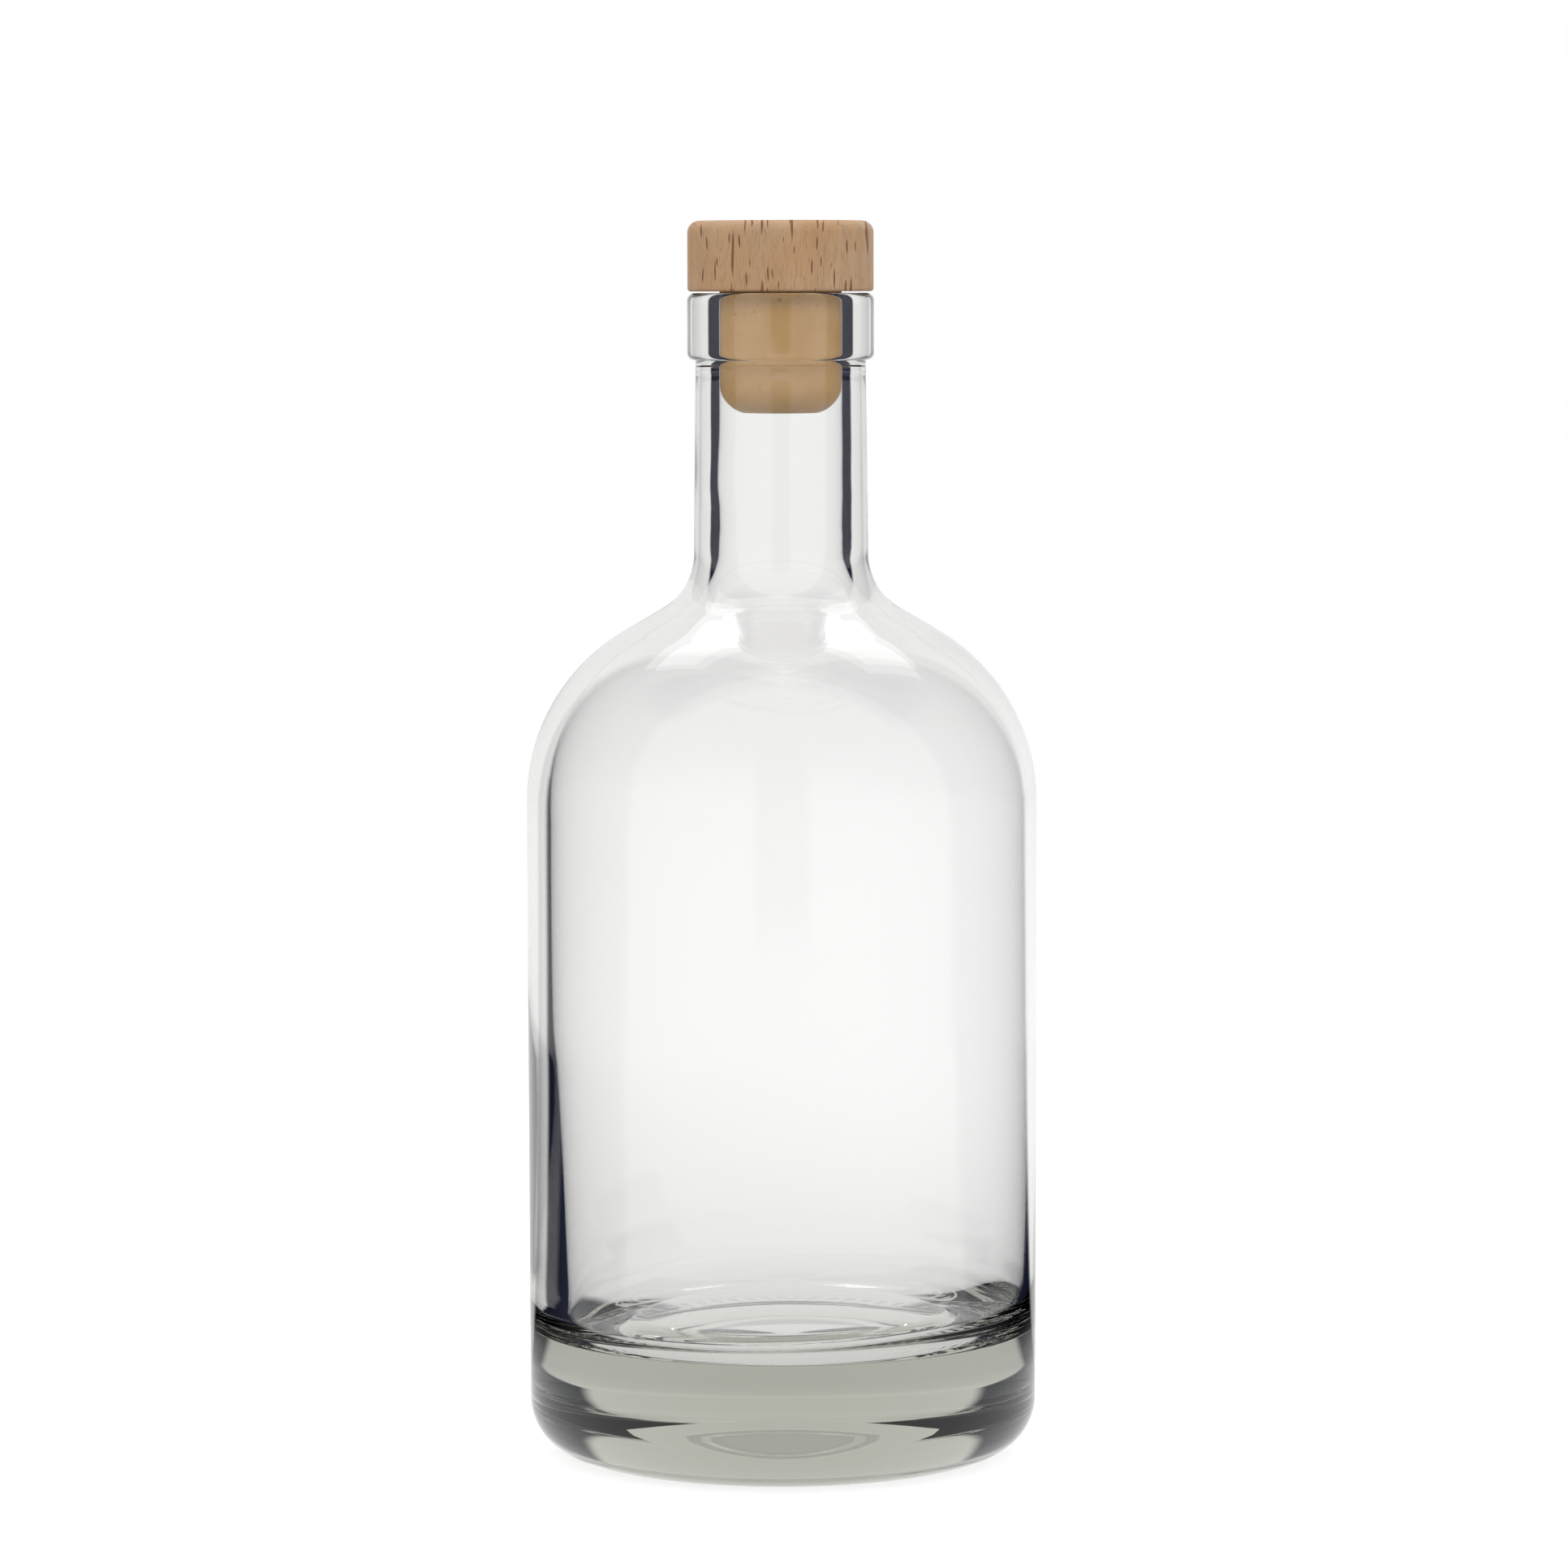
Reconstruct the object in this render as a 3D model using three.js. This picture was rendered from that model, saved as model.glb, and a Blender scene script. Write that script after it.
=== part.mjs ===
// A clear glass bottle with a heavy base, and the push-in stopper that closes it.
// Millimetres, +Z up. The origin is where the bottle's axis meets the plane that its foot stands on.

import * as THREE from 'three';

// Outside of the bottle
const bodyDiameter = 82.1;            // across the wall where the shoulder starts
const wallDraft = 0.2;                // how much nearer the axis the wall is at its foot
const heelRadius = 9.2;
const straightWall = 96.3;            // from the top of the heel to the shoulder
const shoulderRadius = 31.8;
const shoulderSlope = 30;             // degrees above the horizontal, where the shoulder meets the neck
const neckFilletRadius = 10.25;
const neckDiameter = 28;              // at the neck's foot
const neckDraft = 0.35;               // how much nearer the axis the neck is at its top
const neckLength = 30.8;              // from the fillet to the bead
const beadDiameter = 29.9;            // the thick ring round the mouth
const beadHeight = 10.7;
const beadEdgeRadius = 1.2;

// Underside of the bottle
const pushUpDiameter = 58;            // across the hollow, to the ring that the bottle stands on
const pushUpSlope = 27.5;             // degrees, where the hollow starts to rise
const pushUpEdgeRadius = 3;

// Inside of the bottle
const wallThickness = 2.6;
const thickWallTop = 68;              // height from which the wall thickens downwards, on its inside
const thickWallLean = 2;              // degrees from the vertical, of that lower stretch
const baseThickness = 19.4;           // from the foot's plane to the lowest ring of the floor inside
const floorEdgeRadius = 7;
const floorStepRadius = 5.4;          // of both bends between that ring and the raised middle
const floorStepSlope = 40;            // degrees
const innerFilletRadius = 16;         // where the bore opens out into the shoulder
const bore = 19.7;
const mouthEdgeRadius = 1.3;

// Stopper
const headDiameter = 29.76;
const headHeight = 11.25;
const headTopEdgeRadius = 1.9;
const headBottomEdgeRadius = 0.5;
const plugLength = 19.4;              // below the head
const plugEndRadius = 5;
const plugEndSweep = 75;              // degrees of arc between the plug's side and its flat end
const spigotDiameter = 12;
const spigotHeight = 4.7;

// Fits
const plugClearance = 0.1;            // all round, from the plug to the bore
const seatGap = 0.25;                 // from the rim to the underside of the head
const glueGap = 0.3;                  // round the spigot and above it, in the head's recess

// Fineness of the round surfaces
const turns = 48;                     // faces round each turned piece
const arcStep = 10;                   // degrees of an outline's arc to each straight facet

const neckAngle = 90 - shoulderSlope; // sweep of the shoulder's arc and of the fillet above it

const glassMaterial = new THREE.MeshStandardMaterial({
  name: 'clear_glass',
  color: 0xe3e9e5,
  roughness: 0.03,
  metalness: 0,
  transparent: true,
  opacity: 0.35,
});
const beechMaterial = new THREE.MeshStandardMaterial({
  name: 'beech',
  color: 0xcfa883,
  roughness: 0.62,
  metalness: 0,
});
const shankMaterial = new THREE.MeshStandardMaterial({
  name: 'tan_elastomer',
  color: 0xc39a66,
  roughness: 0.5,
  metalness: 0,
});

const radians = THREE.MathUtils.degToRad;

// A point of an outline: its distance from the axis, and its height.
function at(radius, height) {
  return new THREE.Vector2(radius, height);
}

// The points of a round stretch. Angles are in degrees, from the outward direction and towards +Z.
function arc(centre, radius, from, to) {
  const steps = Math.max(1, Math.ceil(Math.abs(to - from) / arcStep));
  const points = [];
  for (let step = 0; step <= steps; step += 1) {
    const angle = radians(from + ((to - from) * step) / steps);
    points.push(at(centre.x + radius * Math.cos(angle), centre.y + radius * Math.sin(angle)));
  }
  return points;
}

// One outline from several stretches, without the points that two of them share.
function joined(...stretches) {
  const points = [];
  for (const point of stretches.flat()) {
    const last = points[points.length - 1];
    if (!last || last.distanceTo(point) > 1e-6) {
      points.push(point);
    }
  }
  return points;
}

// A solid turned about +Z from an outline that starts and ends on the axis, with the solid on its left.
function turned(name, outline, material) {
  const geometry = new THREE.LatheGeometry(outline, turns);
  geometry.rotateX(Math.PI / 2);
  const mesh = new THREE.Mesh(geometry, material);
  mesh.name = name;
  return mesh;
}

// The rise from a wall over a shoulder to a neck: an arc, a cone that is tangent to it, and a fillet
// that is tangent to the cone and to the neck.
function shoulderRise(arcCentre, arcRadius, neckRadius, filletRadius) {
  const shoulder = arc(arcCentre, arcRadius, 0, neckAngle);
  const coneFoot = shoulder[shoulder.length - 1];
  const filletCentreRadius = neckRadius + filletRadius;
  const coneTopRadius = filletCentreRadius - filletRadius * Math.cos(radians(neckAngle));
  const coneTopHeight = coneFoot.y + (coneFoot.x - coneTopRadius) * Math.tan(radians(shoulderSlope));
  const filletCentreHeight = coneTopHeight + filletRadius * Math.sin(radians(neckAngle));
  const fillet = arc(at(filletCentreRadius, filletCentreHeight), filletRadius, 180 + neckAngle, 180);
  return { points: joined(shoulder, fillet), neckFoot: filletCentreHeight };
}

const bodyRadius = bodyDiameter / 2;
const footRadius = bodyRadius - wallDraft;
const innerRadius = bodyRadius - wallThickness;
const wallTop = heelRadius + straightWall;
const shoulderCentre = at(bodyRadius - shoulderRadius, wallTop);
const outerRise = shoulderRise(shoulderCentre, shoulderRadius, neckDiameter / 2, neckFilletRadius);
const innerRise = shoulderRise(
  shoulderCentre,
  shoulderRadius - wallThickness,
  bore / 2,
  innerFilletRadius,
);
const beadFoot = outerRise.neckFoot + neckLength;
const rimHeight = beadFoot + beadHeight;

// The domed hollow under the base, out to the flat ring that the bottle stands on.
function underside() {
  const edgeCentre = at(pushUpDiameter / 2, pushUpEdgeRadius);
  const edge = arc(edgeCentre, pushUpEdgeRadius, 270 - pushUpSlope, 270);
  const domeRadius = edge[0].x / Math.sin(radians(pushUpSlope));
  const domeCentre = at(0, edge[0].y - domeRadius * Math.cos(radians(pushUpSlope)));
  const dome = arc(domeCentre, domeRadius, 90, 90 - pushUpSlope);
  return joined([at(0, domeCentre.y + domeRadius)], dome.slice(1), edge);
}

// The heel, the wall, the shoulder and the neck, up to the bead.
function outside() {
  return joined(
    arc(at(footRadius - heelRadius, heelRadius), heelRadius, -90, 0),
    outerRise.points,
    [at(neckDiameter / 2 - neckDraft, beadFoot)],
  );
}

// The bead round the mouth and the flat rim on it, up to the edge of the bore.
function bead() {
  const edgeCentre = beadDiameter / 2 - beadEdgeRadius;
  const mouthCentre = bore / 2 + mouthEdgeRadius;
  return joined(
    arc(at(edgeCentre, beadFoot + beadEdgeRadius), beadEdgeRadius, -90, 0),
    arc(at(edgeCentre, rimHeight - beadEdgeRadius), beadEdgeRadius, 0, 90),
    arc(at(mouthCentre, rimHeight - mouthEdgeRadius), mouthEdgeRadius, 90, 180),
  );
}

// The inside of the neck, the shoulder and the wall.
function inside() {
  return innerRise.points.toReversed();
}

// The floor inside: the wall's thick lower stretch and the round edge that is tangent to it, the low
// ring, and the middle that the mould pushed up.
function floor() {
  const lean = radians(thickWallLean);
  const edgeTop = baseThickness + floorEdgeRadius * (1 - Math.sin(lean));
  const edgeReach = (thickWallTop - edgeTop) * Math.tan(lean) + floorEdgeRadius * Math.cos(lean);
  const edgeCentre = at(innerRadius - edgeReach, baseThickness + floorEdgeRadius);
  const stepReach = floorStepRadius * Math.sin(radians(floorStepSlope));
  const stepRise = floorStepRadius * (1 - Math.cos(radians(floorStepSlope)));
  const lowCentre = at(edgeCentre.x, baseThickness + floorStepRadius);
  const highCentre = at(edgeCentre.x - 2 * stepReach, baseThickness + 2 * stepRise - floorStepRadius);
  return joined(
    [at(innerRadius, thickWallTop)],
    arc(edgeCentre, floorEdgeRadius, -thickWallLean, -90),
    arc(lowCentre, floorStepRadius, 270, 270 - floorStepSlope),
    arc(highCentre, floorStepRadius, 90 - floorStepSlope, 90),
    [at(0, highCentre.y + floorStepRadius)],
  );
}

function bottle() {
  return turned('bottle', joined(underside(), outside(), bead(), inside(), floor()), glassMaterial);
}

// The turned head, from the ceiling of the recess in its underside. Its own origin is on its underside.
function stopperHead() {
  const recessRadius = spigotDiameter / 2 + glueGap;
  const bottomEdge = at(headDiameter / 2 - headBottomEdgeRadius, headBottomEdgeRadius);
  const topEdge = at(headDiameter / 2 - headTopEdgeRadius, headHeight - headTopEdgeRadius);
  const outline = joined(
    [at(0, spigotHeight + glueGap)],
    [at(recessRadius, spigotHeight + glueGap)],
    [at(recessRadius, 0)],
    arc(bottomEdge, headBottomEdgeRadius, -90, 0),
    arc(topEdge, headTopEdgeRadius, 0, 90),
    [at(0, headHeight)],
  );
  return turned('stopper_head', outline, beechMaterial);
}

// The shank that fills the mouth, and the spigot on it that is glued into the head.
function stopperPlug() {
  const plugRadius = bore / 2 - plugClearance;
  const endHeight = plugEndRadius * Math.sin(radians(plugEndSweep)) - plugLength;
  const outline = joined(
    [at(0, -plugLength)],
    arc(at(plugRadius - plugEndRadius, endHeight), plugEndRadius, -plugEndSweep, 0),
    [at(plugRadius, 0)],
    [at(spigotDiameter / 2, 0)],
    [at(spigotDiameter / 2, spigotHeight)],
    [at(0, spigotHeight)],
  );
  return turned('stopper_plug', outline, shankMaterial);
}

// The stopper, seated in the mouth.
function stopper() {
  const group = new THREE.Group();
  group.add(stopperHead(), stopperPlug());
  group.position.z = rimHeight + seatGap;
  return group;
}

const closedBottle = new THREE.Group();
closedBottle.add(bottle(), stopper());

export default closedBottle;
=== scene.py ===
import math

import bpy
import numpy as np
from mathutils import Matrix, Vector, noise


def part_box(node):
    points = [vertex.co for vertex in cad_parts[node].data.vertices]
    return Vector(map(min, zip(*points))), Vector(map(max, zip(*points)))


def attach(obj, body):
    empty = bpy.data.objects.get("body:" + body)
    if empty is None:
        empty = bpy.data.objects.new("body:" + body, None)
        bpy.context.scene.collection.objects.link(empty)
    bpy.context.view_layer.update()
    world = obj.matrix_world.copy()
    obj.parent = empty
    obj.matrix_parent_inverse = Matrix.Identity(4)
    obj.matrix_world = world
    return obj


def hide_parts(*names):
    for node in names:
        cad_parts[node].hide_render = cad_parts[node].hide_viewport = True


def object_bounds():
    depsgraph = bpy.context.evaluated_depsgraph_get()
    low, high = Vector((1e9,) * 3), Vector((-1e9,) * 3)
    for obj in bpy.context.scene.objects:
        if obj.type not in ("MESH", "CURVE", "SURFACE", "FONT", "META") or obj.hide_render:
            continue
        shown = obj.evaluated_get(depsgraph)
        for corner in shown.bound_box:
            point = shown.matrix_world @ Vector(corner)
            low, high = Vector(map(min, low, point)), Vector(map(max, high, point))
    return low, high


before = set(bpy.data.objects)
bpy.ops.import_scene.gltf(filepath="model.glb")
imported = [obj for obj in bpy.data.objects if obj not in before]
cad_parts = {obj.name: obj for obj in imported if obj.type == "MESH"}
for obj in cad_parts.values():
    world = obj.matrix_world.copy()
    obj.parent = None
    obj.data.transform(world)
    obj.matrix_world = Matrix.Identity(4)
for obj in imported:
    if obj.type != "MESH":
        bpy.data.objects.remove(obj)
cad_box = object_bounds()

# Bottle
# One blown piece of clear glass with a heavy base. The mould gives it a true outside; inside, the glass
# has set by itself, so the wall is thicker on one side and its surface is slightly wavy.

MM = 0.001
turns = 384

body_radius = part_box("bottle")[1].x
rim_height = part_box("bottle")[1].z
wall_draft = 0.2 * MM
heel_radius = 9.2 * MM
wall_top = 105.5 * MM
shoulder_radius = 31.8 * MM
shoulder_slope = math.radians(30)
neck_fillet = 10.25 * MM
neck_radius = 14.0 * MM
neck_draft = 0.35 * MM
bead_radius = 14.95 * MM
bead_height = 10.7 * MM
bead_edge = 1.2 * MM

push_up_radius = 29.0 * MM
push_up_slope = 27.5
push_up_edge = 3.0 * MM
knurls = 64
knurl_depth = 0.20 * MM
knurl_start_fade = 1.0 * MM
knurl_end = 34.0 * MM
knurl_end_fade = 3.0 * MM

wall = 2.6 * MM
thick_wall_top = 68 * MM
thick_wall_lean = math.radians(2)
base_thickness = 19.4 * MM
floor_edge = 7.0 * MM
floor_step = 5.4 * MM
floor_slope = 40
inner_fillet = 16.0 * MM
bore = 9.85 * MM
mouth_edge = 1.3 * MM

parting_drop = 1.6 * MM
parting_height = 0.07 * MM
parting_half = 0.25 * MM

wall_shift = 0.9 * MM
wall_shift_from, wall_shift_full = 142 * MM, 105 * MM
foot_shift = 0.6 * MM
foot_shift_from, foot_shift_full = 80 * MM, 35 * MM
wave, bore_wave = 0.08 * MM, 0.14 * MM
wave_length, bore_wave_length = 22 * MM, 9 * MM
bore_wave_from, bore_wave_full = 138 * MM, 156 * MM
shank_near, shank_far = 1 * MM, 9 * MM


def arc(centre, radius, start, end, points):
    """Points of a round stretch: distance from the axis and height. Degrees go from outward to up."""
    angles = np.radians(np.linspace(start, end, points))
    return [(centre[0] + radius * math.cos(a), centre[1] + radius * math.sin(a)) for a in angles]


def line(start, end, points):
    """Points of a straight stretch, both ends included."""
    return [tuple(p) for p in np.linspace(start, end, points)]


def joined(*stretches):
    """One outline from several stretches, without the points that two of them share."""
    points = []
    for point in (p for stretch in stretches for p in stretch):
        if not points or math.dist(points[-1], point) > 1e-7:
            points.append(point)
    return points


def shoulder_rise(arc_radius, neck, fillet):
    """The shoulder's arc, the cone on it and the fillet up to the neck, and where the neck starts."""
    sweep = math.pi / 2 - shoulder_slope
    centre = (body_radius - shoulder_radius, wall_top)
    shoulder = arc(centre, arc_radius, 0, math.degrees(sweep), 21)
    foot_radius, foot_height = shoulder[-1]
    top_radius = neck + fillet * (1 - math.cos(sweep))
    top_height = foot_height + (foot_radius - top_radius) * math.tan(shoulder_slope)
    fillet_height = top_height + fillet * math.sin(sweep)
    fillet_centre = (neck + fillet, fillet_height)
    rise = arc(fillet_centre, fillet, 180 + math.degrees(sweep), 180, 15)
    return joined(shoulder, rise), fillet_height


def underside():
    """The domed hollow under the base and the ring that the bottle stands on."""
    slope = math.radians(push_up_slope)
    edge = arc((push_up_radius, push_up_edge), push_up_edge, 270 - push_up_slope, 270, 5)
    dome = edge[0][0] / math.sin(slope)
    centre = (0, edge[0][1] - dome * math.cos(slope))
    return joined(
        arc(centre, dome, 90, 90 - push_up_slope, 13),
        edge,
        line((push_up_radius, 0), (body_radius - wall_draft - heel_radius, 0), 11),
    )


def outside():
    """The heel, the wall, the shoulder and the neck, up to the bead."""
    foot_radius = body_radius - wall_draft
    rise, neck_foot = shoulder_rise(shoulder_radius, neck_radius, neck_fillet)
    bead_foot = rim_height - bead_height
    parting = bead_foot - parting_drop
    neck_top = neck_radius - neck_draft
    return joined(
        arc((foot_radius - heel_radius, heel_radius), heel_radius, -90, 0, 19),
        line((foot_radius, heel_radius), (body_radius, wall_top), 9),
        rise,
        line((neck_radius, neck_foot), (neck_top, parting - parting_half), 7),
        [(neck_top + parting_height, parting), (neck_top, parting + parting_half)],
        [(neck_top, bead_foot)],
    )


def bead():
    """The bead round the mouth and the flat rim on it."""
    edge = bead_radius - bead_edge
    mouth = bore + mouth_edge
    return joined(
        arc((edge, rim_height - bead_height + bead_edge), bead_edge, -90, 0, 8),
        arc((edge, rim_height - bead_edge), bead_edge, 0, 90, 8),
        arc((mouth, rim_height - mouth_edge), mouth_edge, 90, 180, 8),
    )


def inside():
    """The bore, the inside of the shoulder and the wall, and the floor with its raised middle."""
    inner_radius = body_radius - wall
    rise, bore_foot = shoulder_rise(shoulder_radius - wall, bore, inner_fillet)
    edge_top = base_thickness + floor_edge * (1 - math.sin(thick_wall_lean))
    lean_in = (thick_wall_top - edge_top) * math.tan(thick_wall_lean)
    edge_reach = lean_in + floor_edge * math.cos(thick_wall_lean)
    edge = (inner_radius - edge_reach, base_thickness + floor_edge)
    slope = math.radians(floor_slope)
    middle = base_thickness + 2 * floor_step * (1 - math.cos(slope))
    high = (edge[0] - 2 * floor_step * math.sin(slope), middle - floor_step)
    return joined(
        line((bore, rim_height - mouth_edge), (bore, bore_foot), 25),
        rise[::-1],
        line((inner_radius, wall_top), (inner_radius, thick_wall_top), 13),
        line((inner_radius, thick_wall_top), (inner_radius - lean_in, edge_top), 15),
        arc(edge, floor_edge, -math.degrees(thick_wall_lean), -90, 17),
        arc((edge[0], base_thickness + floor_step), floor_step, 270, 270 - floor_slope, 9),
        arc(high, floor_step, 90 - floor_slope, 90, 9),
        line((high[0], middle), (0, middle), 12),
    )


def turned(name, rings):
    """A closed mesh from rings of points; the first and the last ring are points on the axis."""
    count = len(rings[1])
    verts = [tuple(rings[0][0])]
    for points in rings[1:-1]:
        verts.extend(map(tuple, points))
    verts.append(tuple(rings[-1][0]))
    faces = []
    for i in range(count):
        faces.append((0, 1 + (i + 1) % count, 1 + i))
    for row in range(len(rings) - 3):
        low, high = 1 + row * count, 1 + (row + 1) * count
        for i in range(count):
            j = (i + 1) % count
            faces.append((low + i, low + j, high + j, high + i))
    last = 1 + (len(rings) - 3) * count
    for i in range(count):
        faces.append((last + i, last + (i + 1) % count, len(verts) - 1))
    mesh = bpy.data.meshes.new(name)
    mesh.from_pydata(verts, [], faces)
    mesh.polygons.foreach_set("use_smooth", [True] * len(mesh.polygons))
    piece = bpy.data.objects.new(name, mesh)
    bpy.context.scene.collection.objects.link(piece)
    return piece


def ring(radius, height, count=turns):
    """A level circle of points."""
    angles = np.linspace(0, 2 * math.pi, count, endpoint=False)
    x, y = radius * np.cos(angles), radius * np.sin(angles)
    return np.column_stack([x, y, np.full(count, height)])


def knurled(rings):
    """Presses short radial grooves into the rings of points round the bottle's foot."""
    for points in rings:
        radius = math.hypot(points[0][0], points[0][1])
        into = (radius - push_up_radius) / knurl_start_fade
        out_of = (knurl_end - radius) / knurl_end_fade
        share = min(max(min(into, out_of), 0), 1)
        angles = np.linspace(0, 2 * math.pi, len(points), endpoint=False)
        points[:, 2] += share * knurl_depth * (0.5 - 0.5 * np.cos(knurls * angles))


def eased(value, start, end):
    """0 before the start, 1 after the end, and a smooth rise between the two."""
    share = min(max((value - start) / (end - start), 0), 1)
    return share * share * (3 - 2 * share)


def settled(rings):
    """Moves the inside surface as the hot glass has settled: to one side, and in slow shallow waves."""
    shank_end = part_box("stopper_plug")[0].z
    for points in rings:
        height = points[0][2]
        above_floor = eased(height, base_thickness, base_thickness + floor_edge)
        shift = wall_shift * eased(-height, -wall_shift_from, -wall_shift_full)
        shift += foot_shift * eased(-height, -foot_shift_from, -foot_shift_full)
        in_bore = eased(height, bore_wave_from, bore_wave_full)
        size = wave + (bore_wave - wave) * in_bore
        size *= eased(-height, -shank_end + shank_near, -shank_end + shank_far)
        length = wave_length + (bore_wave_length - wave_length) * in_bore
        for point in points:
            x, y, z = point
            radius = math.hypot(x, y)
            if radius == 0:
                continue
            swell = noise.noise(Vector((x / length, y / length, z / (1.5 * length) + 3)))
            bulge = size * swell * above_floor
            point[0] += bulge * x / radius + shift * above_floor
            point[1] += bulge * y / radius


lower = [ring(r, z) for r, z in underside()]
outer = [ring(r, z) for r, z in joined(outside(), bead())]
inner = [ring(r, z) for r, z in inside()]
knurled([points for points in lower + outer if points[0][2] < heel_radius])
settled(inner)
bottle = turned("glass_bottle", lower + outer[1:] + inner[1:])

glass_ior = 1.52
glass_tint = (0.760, 0.7675, 0.725, 1)
glass_density = 40.0

clear_glass = bpy.data.materials.new("clear_glass")
clear_glass.use_nodes = True
nodes, links = clear_glass.node_tree.nodes, clear_glass.node_tree.links
shader = nodes["Principled BSDF"]
shader.inputs["Base Color"].default_value = (1, 1, 1, 1)
shader.inputs["Roughness"].default_value = 0.0
shader.inputs["IOR"].default_value = glass_ior
shader.inputs["Transmission Weight"].default_value = 1.0
tint = nodes.new("ShaderNodeVolumeAbsorption")
tint.inputs["Color"].default_value = glass_tint
tint.inputs["Density"].default_value = glass_density
links.new(tint.outputs["Volume"], nodes["Material Output"].inputs["Volume"])
bottle.data.materials.append(clear_glass)
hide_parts("bottle")
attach(bottle, "bottle")

# Stopper head
# A disc turned from beech with the grain upright, so the rays show as short dark flecks round its side
# and as fine lines across its top. It is sanded and unvarnished, and glued onto the shank's spigot.

head_low, head_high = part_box("stopper_head")
head_radius = head_high.x
head_top_edge = 1.9 * MM
head_bottom_edge = 0.5 * MM
recess_radius = 6.3 * MM
recess_height = 5.0 * MM
head_turns = 192

sway_reach = 1.2 * MM
# Each layer of flecks has its cells to the metre, its offset and the width of its widest fleck.
fleck_layers = (
    ((850, 58, 1), (0.3, 0.2, 0), 0.25),
    ((1150, 140, 1), (3.1, 1.7, 0), 0.20),
)
fleck_rarity = 0.30
fleck_fade = (13.4 * MM, 14.2 * MM)
ring_spacing = 3.1 * MM
pith_place = (0.014, 0.052, 0)

head_outline = joined(
    line((0, head_low.z + recess_height), (recess_radius, head_low.z + recess_height), 4),
    line((recess_radius, head_low.z), (head_radius - head_bottom_edge, head_low.z), 6),
    arc((head_radius - head_bottom_edge, head_low.z + head_bottom_edge), head_bottom_edge, -90, 0, 7),
    line((head_radius, head_low.z + head_bottom_edge), (head_radius, head_high.z - head_top_edge), 12),
    arc((head_radius - head_top_edge, head_high.z - head_top_edge), head_top_edge, 0, 90, 13),
    line((head_radius - head_top_edge, head_high.z), (0, head_high.z), 10),
)
head = turned("beech_head", [ring(r, z, head_turns) for r, z in head_outline])


def shader_group(name, vector_input, float_outputs):
    """An empty shader node group with a vector input and some values as outputs, and its two end nodes."""
    group = bpy.data.node_groups.new(name, "ShaderNodeTree")
    group.interface.new_socket(vector_input, in_out="INPUT", socket_type="NodeSocketVector")
    for label in float_outputs:
        group.interface.new_socket(label, in_out="OUTPUT", socket_type="NodeSocketFloat")
    return group, group.nodes.new("NodeGroupInput"), group.nodes.new("NodeGroupOutput")


def feed(tree, socket, value):
    """Links a socket to another one, or gives it a plain value."""
    if isinstance(value, bpy.types.NodeSocket):
        tree.links.new(value, socket)
    else:
        socket.default_value = value


def math_node(tree, operation, *values):
    """A Math node fed by sockets or numbers."""
    node = tree.nodes.new("ShaderNodeMath")
    node.operation = operation
    for socket, value in zip(node.inputs, values):
        feed(tree, socket, value)
    return node.outputs[0]


def vector_node(tree, operation, *values):
    """A Vector Math node fed by sockets or vectors."""
    node = tree.nodes.new("ShaderNodeVectorMath")
    node.operation = operation
    for socket, value in zip(node.inputs, values):
        feed(tree, socket, value)
    return node


def remap(tree, value, from_min, from_max, to_min=0.0, to_max=1.0):
    """A smooth Map Range node, from one span of values to another."""
    node = tree.nodes.new("ShaderNodeMapRange")
    node.interpolation_type = "SMOOTHSTEP"
    labels = ("Value", "From Min", "From Max", "To Min", "To Max")
    for label, number in zip(labels, (value, from_min, from_max, to_min, to_max)):
        feed(tree, node.inputs[label], number)
    return node.outputs["Result"]


def blend_colour(tree, factor, first, second):
    """A colour Mix node."""
    node = tree.nodes.new("ShaderNodeMix")
    node.data_type = "RGBA"
    for label, value in (("Factor", factor), ("A", first), ("B", second)):
        feed(tree, [s for s in node.inputs if s.name == label and s.enabled][0], value)
    return [s for s in node.outputs if s.enabled][0]


def stretched(tree, coords, scale, offset=(0, 0, 0)):
    """Coordinates stretched by their own scale along each axis."""
    node = tree.nodes.new("ShaderNodeMapping")
    tree.links.new(coords, node.inputs["Vector"])
    node.inputs["Scale"].default_value = scale
    node.inputs["Location"].default_value = offset
    return node.outputs["Vector"]


def noise_of(tree, coords, detail, roughness=0.5):
    """A Noise Texture on coordinates that hold its scale."""
    node = tree.nodes.new("ShaderNodeTexNoise")
    tree.links.new(coords, node.inputs["Vector"])
    node.inputs["Scale"].default_value = 1.0
    node.inputs["Detail"].default_value = detail
    node.inputs["Roughness"].default_value = roughness
    return node.outputs


def embossed(tree, shader, height, strength):
    """Gives a shader a relief of a tenth of a millimetre."""
    relief = tree.nodes.new("ShaderNodeBump")
    relief.inputs["Strength"].default_value = strength
    relief.inputs["Distance"].default_value = 0.1 * MM
    tree.links.new(height, relief.inputs["Height"])
    tree.links.new(relief.outputs["Normal"], shader.inputs["Normal"])


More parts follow.
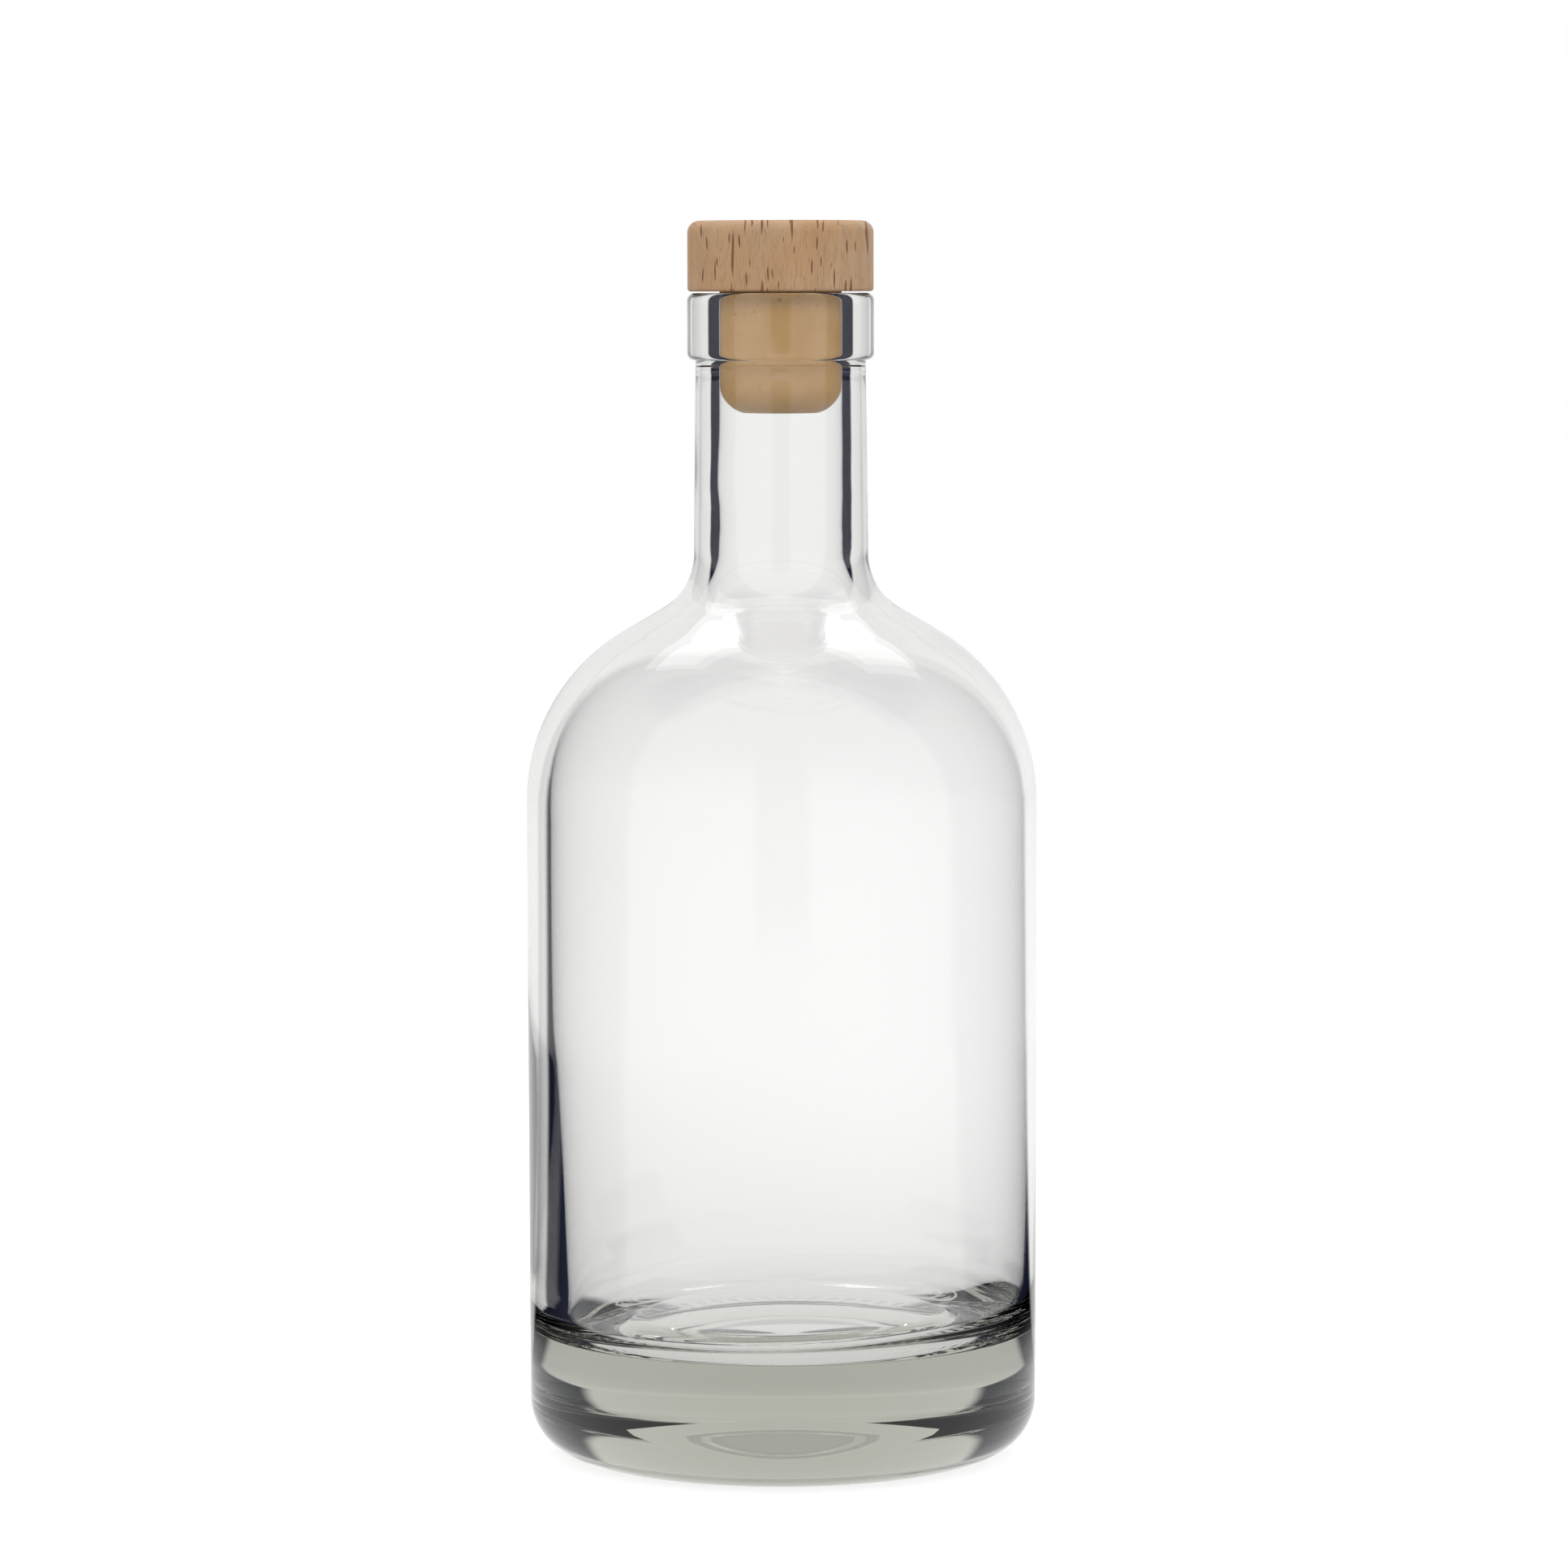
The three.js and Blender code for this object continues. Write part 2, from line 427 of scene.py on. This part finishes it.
def wood_grain():
    """Beech: flecks where the rays come out, pores along the grain, and the year rings."""
    group, start, end = shader_group("wood_grain", "Vector", ("Flecks", "Pores", "Rings", "Clouds"))
    place = start.outputs["Vector"]
    sway = noise_of(group, stretched(group, place, (260, 260, 90)), 2.0)["Color"]
    centred = vector_node(group, "SUBTRACT", sway, (0.5, 0.5, 0.5)).outputs[0]
    swayed = vector_node(group, "MULTIPLY_ADD", centred, (sway_reach, sway_reach, 0), place).outputs[0]

    own = group.nodes.new("ShaderNodeSeparateXYZ")
    group.links.new(swayed, own.inputs[0])
    face = group.nodes.new("ShaderNodeCombineXYZ")
    group.links.new(own.outputs["X"], face.inputs["X"])
    group.links.new(own.outputs["Z"], face.inputs["Y"])
    layers = []
    for scale, offset, thick in fleck_layers:
        cells = group.nodes.new("ShaderNodeTexVoronoi")
        cells.voronoi_dimensions = "2D"
        group.links.new(stretched(group, face.outputs[0], scale, offset), cells.inputs["Vector"])
        cells.inputs["Scale"].default_value = 1.0
        chance = group.nodes.new("ShaderNodeSeparateXYZ")
        group.links.new(cells.outputs["Color"], chance.inputs[0])
        width = remap(group, chance.outputs["X"], fleck_rarity, 0.9, 0.0, thick)
        inner_width = math_node(group, "MULTIPLY", width, 0.55)
        layers.append(remap(group, cells.outputs["Distance"], inner_width, width, 1.0, 0.0))
    either = math_node(group, "MAXIMUM", layers[0], layers[1])
    sideways = math_node(group, "ABSOLUTE", own.outputs["X"])
    flecks = math_node(group, "MULTIPLY", either, remap(group, sideways, *fleck_fade, 1.0, 0.0))
    group.links.new(flecks, end.inputs["Flecks"])

    fine = noise_of(group, stretched(group, swayed, (5200, 5200, 420)), 2.0, 0.6)["Fac"]
    group.links.new(remap(group, fine, 0.52, 0.72), end.inputs["Pores"])

    level = vector_node(group, "MULTIPLY", swayed, (1, 1, 0)).outputs[0]
    from_pith = vector_node(group, "DISTANCE", level, pith_place).outputs["Value"]
    years = math_node(group, "SINE", math_node(group, "MULTIPLY", from_pith, 2 * math.pi / ring_spacing))
    group.links.new(remap(group, years, -1.0, 1.0), end.inputs["Rings"])
    clouds = noise_of(group, stretched(group, place, (75, 75, 45), (0.4, 2.2, 1.3)), 2.0)["Fac"]
    group.links.new(remap(group, clouds, 0.35, 0.7), end.inputs["Clouds"])
    return group


pale_beech = (0.52, 0.345, 0.205, 1)
warm_beech = (0.50, 0.275, 0.125, 1)
ring_beech = (0.40, 0.245, 0.135, 1)
pore_beech = (0.33, 0.20, 0.11, 1)
fleck_beech = (0.21, 0.080, 0.031, 1)

beech = bpy.data.materials.new("beech")
beech.use_nodes = True
tree = beech.node_tree
shader = tree.nodes["Principled BSDF"]
coords = tree.nodes.new("ShaderNodeTexCoord")
grain = tree.nodes.new("ShaderNodeGroup")
grain.node_tree = wood_grain()
tree.links.new(coords.outputs["Object"], grain.inputs["Vector"])
colour = blend_colour(tree, grain.outputs["Clouds"], pale_beech, warm_beech)
for label, strength, darker in (("Rings", 0.30, ring_beech), ("Pores", 0.60, pore_beech)):
    share = math_node(tree, "MULTIPLY", grain.outputs[label], strength)
    colour = blend_colour(tree, share, colour, darker)
colour = blend_colour(tree, grain.outputs["Flecks"], colour, fleck_beech)
tree.links.new(colour, shader.inputs["Base Color"])
tree.links.new(remap(tree, grain.outputs["Pores"], 0.0, 1.0, 0.56, 0.74), shader.inputs["Roughness"])
hollows = math_node(tree, "ADD", grain.outputs["Flecks"], grain.outputs["Pores"])
embossed(tree, shader, math_node(tree, "SUBTRACT", 1.0, hollows), 0.5)
head.data.materials.append(beech)
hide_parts("stopper_head")
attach(head, "stopper")

# Shank
# The tan elastomer shank that seals the mouth, moulded in one with the spigot that is glued into the head.
# Its skin is satin and faintly mottled.

shank_low, shank_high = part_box("stopper_plug")
shank_radius = shank_high.x
shank_end = 5.0 * MM
shank_sweep = 75
spigot_radius = 6.0 * MM
end_height = shank_low.z + shank_end * math.sin(math.radians(shank_sweep))
end_radius = shank_radius - shank_end * (1 - math.cos(math.radians(shank_sweep)))

shank_outline = joined(
    line((0, shank_low.z), (end_radius, shank_low.z), 6),
    arc((shank_radius - shank_end, end_height), shank_end, -shank_sweep, 0, 17),
    line((shank_radius, end_height), (shank_radius, head_low.z), 14),
    line((spigot_radius, head_low.z), (spigot_radius, shank_high.z), 4),
    [(0, shank_high.z)],
)
shank = turned("elastomer_shank", [ring(r, z, head_turns) for r, z in shank_outline])

tan_light = (0.63, 0.378, 0.147, 1)
tan_deep = (0.59, 0.330, 0.105, 1)
tan_speck = (0.26, 0.14, 0.06, 1)

tan_elastomer = bpy.data.materials.new("tan_elastomer")
tan_elastomer.use_nodes = True
tree = tan_elastomer.node_tree
shader = tree.nodes["Principled BSDF"]
coords = tree.nodes.new("ShaderNodeTexCoord")
place = coords.outputs["Object"]
mottle = noise_of(tree, stretched(tree, place, (140, 140, 70)), 4.0, 0.6)["Fac"]
specks = noise_of(tree, stretched(tree, place, (1500, 1500, 1500)), 1.0)["Fac"]
colour = blend_colour(tree, remap(tree, mottle, 0.35, 0.65), tan_light, tan_deep)
colour = blend_colour(tree, remap(tree, specks, 0.70, 0.78, 0.0, 0.6), colour, tan_speck)
tree.links.new(colour, shader.inputs["Base Color"])
tree.links.new(remap(tree, mottle, 0.3, 0.7, 0.42, 0.55), shader.inputs["Roughness"])
embossed(tree, shader, specks, 0.25)
shank.data.materials.append(tan_elastomer)
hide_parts("stopper_plug")
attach(shank, "stopper")

# Studio surround
# A white sweep behind the bottle, a dark flag on each side that edges the glass, and a bright room in
# front with the camera's dark shape in it. The camera sees white all round. Light that reaches the
# stopper through the glass is raised, to make up for what the glass would focus on it.

white = (1.0, 1.0, 1.0, 1)
navy = (0.013, 0.015, 0.033, 1)
flag_start = math.radians(39)
flag_end = math.radians(100)
flag_edge = math.radians(3)
flag_fade = (math.radians(60), math.radians(150))
camera_shape = math.radians(168)
camera_level = 0.10
room_level = 0.50
room_height = 0.90
steep_heights = (0.30, 0.42)
solid_crossings = 3.5
sweep_level = 0.94
ambient_level = 1.26
inside_level = 2.1


def studio_surround():
    """Where the flags are, and how bright the rest is that the outside of the glass mirrors."""
    values = ("Flags", "Mirrored", "Low", "Height")
    group, start, end = shader_group("studio_surround", "Direction", values)
    unit = vector_node(group, "NORMALIZE", start.outputs["Direction"])
    split = group.nodes.new("ShaderNodeSeparateXYZ")
    group.links.new(unit.outputs[0], split.inputs[0])
    side = math_node(group, "ABSOLUTE", split.outputs["X"])
    angle = math_node(group, "ARCTAN2", side, split.outputs["Y"])
    opening = remap(group, angle, flag_start - flag_edge, flag_start + flag_edge)
    closing = remap(group, angle, flag_end - flag_edge, flag_end + flag_edge, 1.0, 0.0)
    group.links.new(math_node(group, "MULTIPLY", opening, closing), end.inputs["Flags"])
    flags = math_node(group, "MULTIPLY", opening, remap(group, angle, *flag_fade, 1.0, 0.0))
    height = math_node(group, "ABSOLUTE", split.outputs["Z"])
    group.links.new(height, end.inputs["Height"])
    shape_edge = (camera_shape - flag_edge, camera_shape + flag_edge)
    front = remap(group, angle, *shape_edge, 1.0, camera_level)
    unflagged = math_node(group, "SUBTRACT", 1.0, flags)
    overhead = remap(group, height, 0.0, room_height, front, room_level)
    group.links.new(math_node(group, "MULTIPLY", overhead, unflagged), end.inputs["Mirrored"])
    group.links.new(unflagged, end.inputs["Low"])
    return group


surround = studio_surround()


def surround_of(tree, direction):
    """The surround's node in a tree, fed by a direction."""
    node = tree.nodes.new("ShaderNodeGroup")
    node.node_tree = surround
    tree.links.new(direction, node.inputs["Direction"])
    return node


def light_of(tree, kind, colour, strength):
    """An Emission or a Background of a colour and a strength, each a socket or a value."""
    node = tree.nodes.new(kind)
    feed(tree, node.inputs["Color"], colour)
    feed(tree, node.inputs["Strength"], strength)
    return node.outputs[0]


def chosen(tree, test, otherwise, if_so):
    """A Mix Shader that takes the second shader where the test is 1."""
    node = tree.nodes.new("ShaderNodeMixShader")
    tree.links.new(test, node.inputs["Fac"])
    tree.links.new(otherwise, node.inputs[1])
    tree.links.new(if_so, node.inputs[2])
    return node.outputs[0]


def seen_through(tree, around, path, steep, level):
    """What shows through the glass: the sweep, and the flags for a steep ray or one from solid glass."""
    solid = math_node(tree, "LESS_THAN", path.outputs["Transmission Depth"], solid_crossings)
    share = math_node(tree, "MULTIPLY", around.outputs["Flags"], math_node(tree, "MAXIMUM", solid, steep))
    lit = vector_node(tree, "SCALE", white[:3])
    feed(tree, lit.inputs["Scale"], level)
    return blend_colour(tree, share, lit.outputs[0], navy)


world = bpy.data.worlds.new("studio")
bpy.context.scene.world = world
world.use_nodes = True
tree = world.node_tree
tree.nodes.clear()
around = surround_of(tree, tree.nodes.new("ShaderNodeTexCoord").outputs["Generated"])
path = tree.nodes.new("ShaderNodeLightPath")
steep = remap(tree, around.outputs["Height"], *steep_heights)
light = light_of(tree, "ShaderNodeBackground", white, ambient_level)
mirrored = light_of(tree, "ShaderNodeBackground", white, around.outputs["Mirrored"])
sweep = seen_through(tree, around, path, steep, sweep_level)
through = light_of(tree, "ShaderNodeBackground", sweep, 1.0)
seen = light_of(tree, "ShaderNodeBackground", white, 1.0)
undimmed = math_node(tree, "LESS_THAN", path.outputs["Diffuse Depth"], 0.5)
glassy = math_node(tree, "MULTIPLY", path.outputs["Is Transmission Ray"], undimmed)
light = chosen(tree, path.outputs["Is Glossy Ray"], light, mirrored)
plain = light_of(tree, "ShaderNodeBackground", white, inside_level)
light = chosen(tree, path.outputs["Is Transmission Ray"], light, plain)
light = chosen(tree, glassy, light, through)
light = chosen(tree, path.outputs["Is Camera Ray"], light, seen)
tree.links.new(light, tree.nodes.new("ShaderNodeOutputWorld").inputs["Surface"])

# Floor
# A sheet of white paper that runs out to the horizon. It takes the bottle's soft shadow. What the glass
# shows of it
# is painted light: its glow is darker at the bottle's foot as painted shade and rises to a painted pool of
# light round it. This painted pool in front of the bottle, with a painted glow just round the heel, is
# mirrored in the lower wall of the glass.

floor_reach = 4.0
floor_drop = 0.05 * MM
paper_colour = (0.40, 0.40, 0.40, 1)
paper_glow = 0.72
# Painted shade and light: the paper as the glass sees it glows darker at the bottle's foot and rises to a
# pool of light round it.
foot_shade_level, pool_level = 0.66, 1.00
pool_start, pool_full = -0.25, 0.42
pool_fade, pool_end = 0.85, 1.80
steep_reach = (0.08, 0.14)
dark_shape_reach = (0.70, 1.00)
# A painted glow: the paper just round the heel is brighter in what the glass mirrors.
heel_glow = 1.1
heel_reach = (0.07, 0.16)

corners = [(x * floor_reach, y * floor_reach, -floor_drop) for x, y in ((-1, -1), (1, -1), (1, 1), (-1, 1))]
floor_mesh = bpy.data.meshes.new("studio_floor")
floor_mesh.from_pydata(corners, [], [(0, 1, 2, 3)])
studio_floor = bpy.data.objects.new("studio_floor", floor_mesh)
bpy.context.scene.collection.objects.link(studio_floor)

paper = bpy.data.materials.new("white_paper")
paper.use_nodes = True
tree = paper.node_tree
tree.nodes.clear()
place = tree.nodes.new("ShaderNodeNewGeometry").outputs["Position"]
around = surround_of(tree, place)
path = tree.nodes.new("ShaderNodeLightPath")
diffuse = tree.nodes.new("ShaderNodeBsdfDiffuse")
diffuse.inputs["Color"].default_value = paper_colour
glow = light_of(tree, "ShaderNodeEmission", white, paper_glow)
seen = tree.nodes.new("ShaderNodeAddShader")
tree.links.new(diffuse.outputs[0], seen.inputs[0])
tree.links.new(glow, seen.inputs[1])
reach = vector_node(tree, "LENGTH", place).outputs["Value"]
# Painted shade at the bottle's foot, rising to a painted pool of light and then to the sweep's level far
# off.
rise = remap(tree, reach, pool_start, pool_full, foot_shade_level, pool_level)
pool = remap(tree, reach, pool_fade, pool_end, rise, sweep_level)
steep = remap(tree, reach, *steep_reach, 1.0, 0.0)
through = light_of(tree, "ShaderNodeEmission", seen_through(tree, around, path, steep, pool), 1.0)
front = remap(tree, reach, *dark_shape_reach, around.outputs["Low"], around.outputs["Mirrored"])
front = math_node(tree, "MULTIPLY", front, pool)
# The paper that the glass mirrors has a painted glow just round the heel.
mirrored = light_of(tree, "ShaderNodeEmission", white, remap(tree, reach, *heel_reach, heel_glow, front))
undimmed = math_node(tree, "LESS_THAN", path.outputs["Diffuse Depth"], 0.5)
surface = diffuse.outputs[0]
for label, shown in (("Is Glossy Ray", mirrored), ("Is Transmission Ray", through)):
    surface = chosen(tree, math_node(tree, "MULTIPLY", path.outputs[label], undimmed), surface, shown)
surface = chosen(tree, path.outputs["Is Camera Ray"], surface, seen.outputs[0])
tree.links.new(surface, tree.nodes.new("ShaderNodeOutputMaterial").inputs["Surface"])
floor_mesh.materials.append(paper)

# Lamps
# A soft box and a small strip hang above the bottle on each side, a little behind it. They shine on its
# shoulder.


def soft_box(name, place, size, brightness):
    """A rectangular lamp that faces the bottle's middle, so many times as bright as lit white paper."""
    lamp = bpy.data.lights.new(name, "AREA")
    lamp.shape = "RECTANGLE"
    lamp.size, lamp.size_y = size
    lamp.energy = brightness * math.pi * size[0] * size[1]
    holder = bpy.data.objects.new(name, lamp)
    holder.location = place
    target = Vector((0, 0, cad_box[1].z / 2))
    holder.rotation_euler = (target - place).to_track_quat("-Z", "Y").to_euler()
    holder.visible_camera = False
    bpy.context.scene.collection.objects.link(holder)


box_place, box_size, box_brightness = Vector((0.33, 0.42, 0.93)), (0.40, 0.32), 1.1
strip_place, strip_size, strip_brightness = Vector((0.20, 0.52, 0.95)), (0.10, 0.16), 5.5

for side, name in ((-1, "left"), (1, "right")):
    across = Vector((side, 1, 1))
    soft_box(f"{name}_soft_box", box_place * across, box_size, box_brightness)
    soft_box(f"{name}_strip", strip_place * across, strip_size, strip_brightness)

# Camera
# A long lens a metre away, at the height of the mouth and tilted down a little, as the photograph was
# taken.

photo_width = 1932
focal_pixels = 7731
camera_distance = 1.0057
camera_height = 0.1889
camera_aside = 0.00038
camera_tilt = 4.59
camera_roll = -0.13

camera_data = bpy.data.cameras.new("camera")
camera_data.sensor_width = 36.0
camera_data.lens = camera_data.sensor_width * focal_pixels / photo_width
camera = bpy.data.objects.new("camera", camera_data)
camera.location = (camera_aside, -camera_distance, camera_height)
tilt = Matrix.Rotation(math.radians(90 - camera_tilt), 4, "X")
roll = Matrix.Rotation(math.radians(camera_roll), 4, "Z")
camera.rotation_euler = (tilt @ roll).to_euler()
bpy.context.scene.collection.objects.link(camera)
bpy.context.scene.camera = camera

bpy.context.scene.view_settings.view_transform = "Standard"
